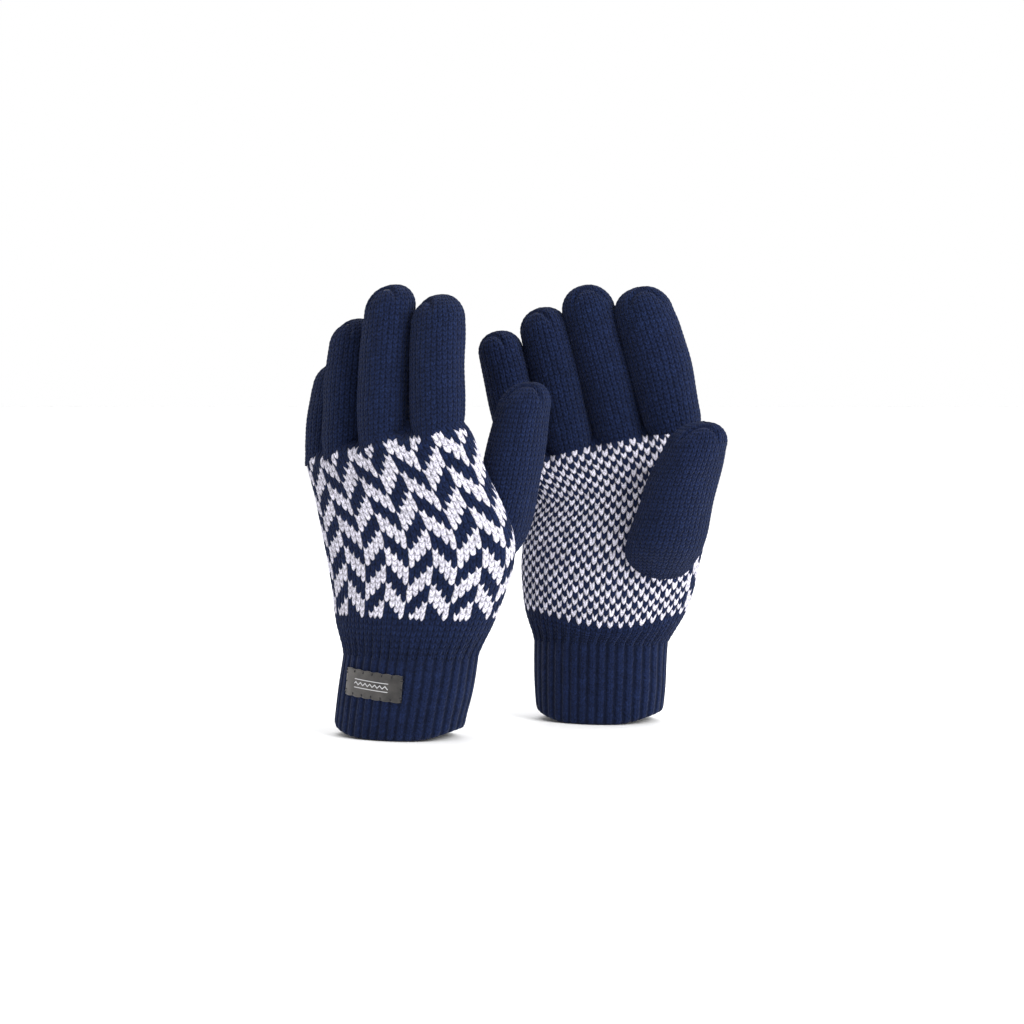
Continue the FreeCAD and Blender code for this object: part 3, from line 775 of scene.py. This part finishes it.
def cuffSurface(side, across, height, off):  # a point on the back of the cuff, off mm proud of it
    hem, wrist = gloves[side]["hem"], gloves[side]["sections"][0]
    share = height / cuff["top"]
    a = (hem[1] + (wrist[3] - hem[1]) * share) / 2
    b = (hem[2] + (wrist[4] - hem[2]) * share) / 2
    angle = math.asin(max(min((across - hem[0] - (wrist[1] - hem[0]) * share) / a, 1), -1))
    normal = np.array([math.sin(angle) * b, -math.cos(angle) * a])
    normal = normal / np.linalg.norm(normal)
    middle = hem[0] + (wrist[1] - hem[0]) * share
    spot = np.array([middle + a * math.sin(angle), -b * math.cos(angle)]) + normal * off
    return np.array([spot[0], spot[1], height])


def addBeads(name, spots, radius, material):
    beads = []
    for start, end in spots:
        start, end = Vector(start), Vector(end)
        bpy.ops.object.select_all(action="DESELECT")
        bpy.ops.mesh.primitive_uv_sphere_add(segments=8, ring_count=6, radius=1, location=(start + end) / 2,
                                             scale=(radius, radius, (end - start).length / 2 + radius * 0.4),
                                             rotation=(end - start).to_track_quat("Z", "Y").to_euler())
        bead = bpy.context.object
        bpy.ops.object.transform_apply(location=True, rotation=True, scale=True)
        beads.append(bead)
    bpy.ops.object.select_all(action="DESELECT")
    for bead in beads:
        bead.select_set(True)
    bpy.context.view_layer.objects.active = beads[0]
    bpy.ops.object.join()
    piece = bpy.context.object
    piece.name = name
    bpy.ops.object.shade_smooth()
    piece.data.materials.append(material)
    return piece


hemSeam = {"stitches": 40, "height": 6.6, "inset": 4.3, "length": 2.6, "rise": 1.1, "thread": 0.00038}


def makeHemSeam(side):
    hem = gloves[side]["hem"]
    loop = ovalLoop(hem[1] - 2 * hemSeam["inset"], hem[2] - 2 * hemSeam["inset"], hemSeam["stitches"] * 2)
    lift = hemLift(loop, hemSeam["height"])
    spots = []
    for i in range(hemSeam["stitches"]):
        a, b = loop[2 * i], loop[(2 * i + 1) % len(loop)]
        low = hemSeam["height"] - hemSeam["rise"] + lift[2 * i]
        middle, step = (a + b) / 2, (b - a) / np.linalg.norm(b - a) * hemSeam["length"] / 2
        start = np.array([hem[0] + middle[0] - step[0], middle[1] - step[1], low])
        end = np.array([hem[0] + middle[0] + step[0], middle[1] + step[1], low + 2 * hemSeam["rise"]])
        spots.append((toWorld(side, start), toWorld(side, end)))
    piece = addBeads(side + "HemSeamThread", spots, hemSeam["thread"], thread)
    return finish(piece, side, "hem_seam_thread")


# Woven label on the back of the cuff
label = {
    "across": -10.0, "height": 31.6, "lean": 4.6, "length": 37.0, "tall": 16.0,
    "proud": 1.25, "puff": 0.5, "tacks": 7, "pinch": 0.5, "thick": 0.0006,
}


def labelSpot(side, s, t, off):  # s and t run from -0.5 to 0.5 over the label
    lean = math.radians(label["lean"]) * gloves[side]["facing"]
    wave = abs(math.sin(math.pi * (s + 0.5) * (label["tacks"] - 1)))
    edge = abs(2 * t) ** 6
    tall = label["tall"] - 2 * label["pinch"] * (1 - wave) * edge
    x, y = s * label["length"], t * tall
    across = label["across"] + x * math.cos(lean) + y * math.sin(lean)
    height = label["height"] - x * math.sin(lean) + y * math.cos(lean)
    bulge = (1 - abs(2 * t) ** 2.5) * label["puff"] + 0.35 * wave * edge + 0.12 * math.sin(9 * s + 4 * t)
    return cuffSurface(side, across, height, label["proud"] + bulge * (1 - abs(2 * s) ** 8) + off)


# The label's motif, mm from its lower left corner: a zigzag between two lines
motif = {
    "from": 7.0, "to": 29.0, "zigzag": 7.2, "step": 1.6, "stroke": 0.32, "lines": (5.6, 10.4), "line": 0.2,
}


def labelMaterial():
    material = bpy.data.materials.new("wovenSatin")
    material.use_nodes = True
    tree = material.node_tree
    shader = tree.nodes["Principled BSDF"]
    shader.inputs["Roughness"].default_value = 0.42
    shader.inputs["Sheen Weight"].default_value = 0.2
    shader.inputs["Anisotropic"].default_value = 0.4
    uv = tree.nodes.new("ShaderNodeUVMap")
    uv.uv_map = "weave"
    parts = tree.nodes.new("ShaderNodeSeparateXYZ")
    tree.links.new(uv.outputs[0], parts.inputs[0])
    x = mathNode(tree, "MULTIPLY", parts.outputs[0], label["length"])
    y = mathNode(tree, "MULTIPLY", parts.outputs[1], label["tall"])
    zig = mathNode(tree, "PINGPONG", x, motif["step"])
    rise = mathNode(tree, "SUBTRACT", y, motif["zigzag"])
    peak = mathNode(tree, "ABSOLUTE", mathNode(tree, "SUBTRACT", rise, zig))
    drawn = mathNode(tree, "LESS_THAN", peak, motif["stroke"])
    for height in motif["lines"]:
        off = mathNode(tree, "ABSOLUTE", mathNode(tree, "SUBTRACT", y, height))
        drawn = mathNode(tree, "MAXIMUM", drawn, mathNode(tree, "LESS_THAN", off, motif["line"]))
    inside = mathNode(tree, "MULTIPLY", mathNode(tree, "GREATER_THAN", x, motif["from"]),
                      mathNode(tree, "LESS_THAN", x, motif["to"]))
    drawn = mathNode(tree, "MULTIPLY", drawn, inside)
    weft = mathNode(tree, "ABSOLUTE", mathNode(tree, "SINE", mathNode(tree, "MULTIPLY", y, 15.0)))
    warp = mathNode(tree, "ABSOLUTE", mathNode(tree, "SINE", mathNode(tree, "MULTIPLY", x, 11.0)))
    weave = mathNode(tree, "MULTIPLY_ADD", weft, 0.35, mathNode(tree, "MULTIPLY_ADD", warp, 0.2, 0.5))
    # Dark satin mixed with a lighter copy of it by the painted sheen amount below
    satinSheen = tree.nodes.new("ShaderNodeMix")
    satinSheen.data_type = "RGBA"
    satinSheen.inputs["A"].default_value = (0.007, 0.0063, 0.0062, 1)
    satinSheen.inputs["B"].default_value = (0.085, 0.077, 0.072, 1)
    # Painted satin sheen: paler towards one end, with light and dark noise patches over it
    coords = tree.nodes.new("ShaderNodeTexCoord")
    crease = mathNode(tree, "MULTIPLY_ADD", noiseNode(tree, coords, 190, 2), 1.1, -0.35)
    shine = mathNode(tree, "MULTIPLY_ADD", x, -0.62 / label["length"], 0.62)
    shine = mathNode(tree, "MULTIPLY", weave, mathNode(tree, "ADD", shine, crease))
    tree.links.new(shine, satinSheen.inputs["Factor"])
    colour = tree.nodes.new("ShaderNodeMix")
    colour.data_type = "RGBA"
    colour.inputs["B"].default_value = (0.62, 0.62, 0.64, 1)
    tree.links.new(satinSheen.outputs["Result"], colour.inputs["A"])
    tree.links.new(drawn, colour.inputs["Factor"])
    tree.links.new(colour.outputs["Result"], shader.inputs["Base Color"])
    bump = tree.nodes.new("ShaderNodeBump")
    bump.inputs["Strength"].default_value = 0.35
    bump.inputs["Distance"].default_value = 0.0003
    tree.links.new(mathNode(tree, "ADD", weave, drawn), bump.inputs["Height"])
    tree.links.new(bump.outputs[0], shader.inputs["Normal"])
    return material


wovenSatin = labelMaterial()


def makeLabel(side):
    bpy.ops.object.select_all(action="DESELECT")
    bpy.ops.mesh.primitive_grid_add(x_subdivisions=70, y_subdivisions=28, size=1)
    piece = bpy.context.object
    piece.name = side + "WovenLabel"
    piece.data.uv_layers[0].name = "weave"
    for vertex in piece.data.vertices:
        s, t = vertex.co.x, vertex.co.y
        vertex.co = Vector(toWorld(side, labelSpot(side, s, t, 0.0)))
    if gloves[side]["facing"] < 0:
        piece.data.flip_normals()
        for loop in piece.data.uv_layers[0].data:
            loop.uv.x = 1 - loop.uv.x
    bpy.ops.object.transform_apply(location=True, rotation=True, scale=True)
    solid = piece.modifiers.new("thickness", "SOLIDIFY")
    solid.thickness = label["thick"]
    solid.offset = -1
    bpy.ops.object.modifier_apply(modifier=solid.name)
    bpy.ops.object.shade_smooth()
    piece.data.materials.append(wovenSatin)
    finish(piece, side, "woven_label")

    spots = []
    for row in (-1, 1):
        for i in range(label["tacks"]):
            s = -0.5 + (i + 0.02) / (label["tacks"] - 0.96)
            spots.append((toWorld(side, labelSpot(side, s, row * 0.37, 0.3)),
                          toWorld(side, labelSpot(side, s, row * 0.53, -0.5))))
    for t in (-0.3, 0.0, 0.3):
        for end in (-1, 1):
            spots.append((toWorld(side, labelSpot(side, end * 0.475, t, 0.3)),
                          toWorld(side, labelSpot(side, end * 0.512, t, -0.5))))
    tacks = addBeads(side + "LabelTacking", spots, 0.00042, thread)
    finish(tacks, side, "label_tacking")


for side in gloves:
    makeHand(side)
    makeCuff(side)
    makeHandLining(side)
    makeHemSeam(side)
    for seed, name in enumerate(fingers[side], 11):
        makeFinger(side, name, seed)
    makeThumb(side, 17)
    makeLabel(side)
    print(side, "glove made up")

# Floor, camera and lights
studio = {
    "aim": (-0.001, 0.0, 0.1274), "distance": 1.7, "lens": 101.7, "lookDown": 3.9,
    "sky": 1.0, "skyFront": 0.34, "ceiling": 1.1, "floor": (0.97, 0.97, 0.97, 1),
    "lamps": {
        "key": {"at": (1.15, -1.0, 0.9), "size": 0.9, "power": 32},
        "fill": {"at": (-1.1, -1.1, 0.6), "size": 1.4, "power": 3},
        "rim": {"at": (0.2, 1.2, 1.0), "size": 1.2, "power": 8},
    },
}
bpy.ops.object.select_all(action="DESELECT")
bpy.ops.mesh.primitive_plane_add(size=12, location=(0, 0, -0.0002))
floor = bpy.context.object
floor.name = "floor"
floorLook = bpy.data.materials.new("floorLook")
floorLook.use_nodes = True
floorShader = floorLook.node_tree.nodes["Principled BSDF"]
floorShader.inputs["Base Color"].default_value = studio["floor"]
floorShader.inputs["Roughness"].default_value = 0.9
floor.data.materials.append(floorLook)

target = Vector(studio["aim"])
down = math.radians(studio["lookDown"])
offset = Vector((0, -math.cos(down), math.sin(down))) * studio["distance"]
bpy.ops.object.camera_add(location=target + offset)
camera = bpy.context.object
camera.data.lens = studio["lens"]
camera.rotation_euler = (-offset).to_track_quat("-Z", "Y").to_euler()
bpy.context.scene.camera = camera

bpy.ops.object.light_add(type="SUN", location=(0, 0, 2))
bpy.context.object.name = "ceiling"
bpy.context.object.data.energy = studio["ceiling"]
bpy.context.object.data.angle = math.radians(60)
for name, lamp in studio["lamps"].items():
    bpy.ops.object.light_add(type="AREA", location=lamp["at"])
    light = bpy.context.object
    light.name = name
    light.data.size = lamp["size"]
    light.data.energy = lamp["power"]
    light.rotation_euler = (Vector((0, 0, 0.12)) - light.location).to_track_quat("-Z", "Y").to_euler()

world = bpy.data.worlds.new("studio")
world.use_nodes = True
# White behind the pair, dimmer in front of it so that one side of each stall falls into shade
tree = world.node_tree
where = tree.nodes.new("ShaderNodeTexCoord")
axes = tree.nodes.new("ShaderNodeSeparateXYZ")
tree.links.new(where.outputs["Generated"], axes.inputs[0])
ramp = tree.nodes.new("ShaderNodeValToRGB")
ramp.color_ramp.elements[0].position = 0.35
ramp.color_ramp.elements[0].color = (studio["skyFront"],) * 3 + (1,)
ramp.color_ramp.elements[1].position = 0.62
ramp.color_ramp.elements[1].color = (studio["sky"],) * 3 + (1,)
tree.links.new(mathNode(tree, "MULTIPLY_ADD", axes.outputs[1], 0.5, 0.5), ramp.inputs[0])
tree.links.new(ramp.outputs[0], tree.nodes["Background"].inputs[0])
bpy.context.scene.world = world
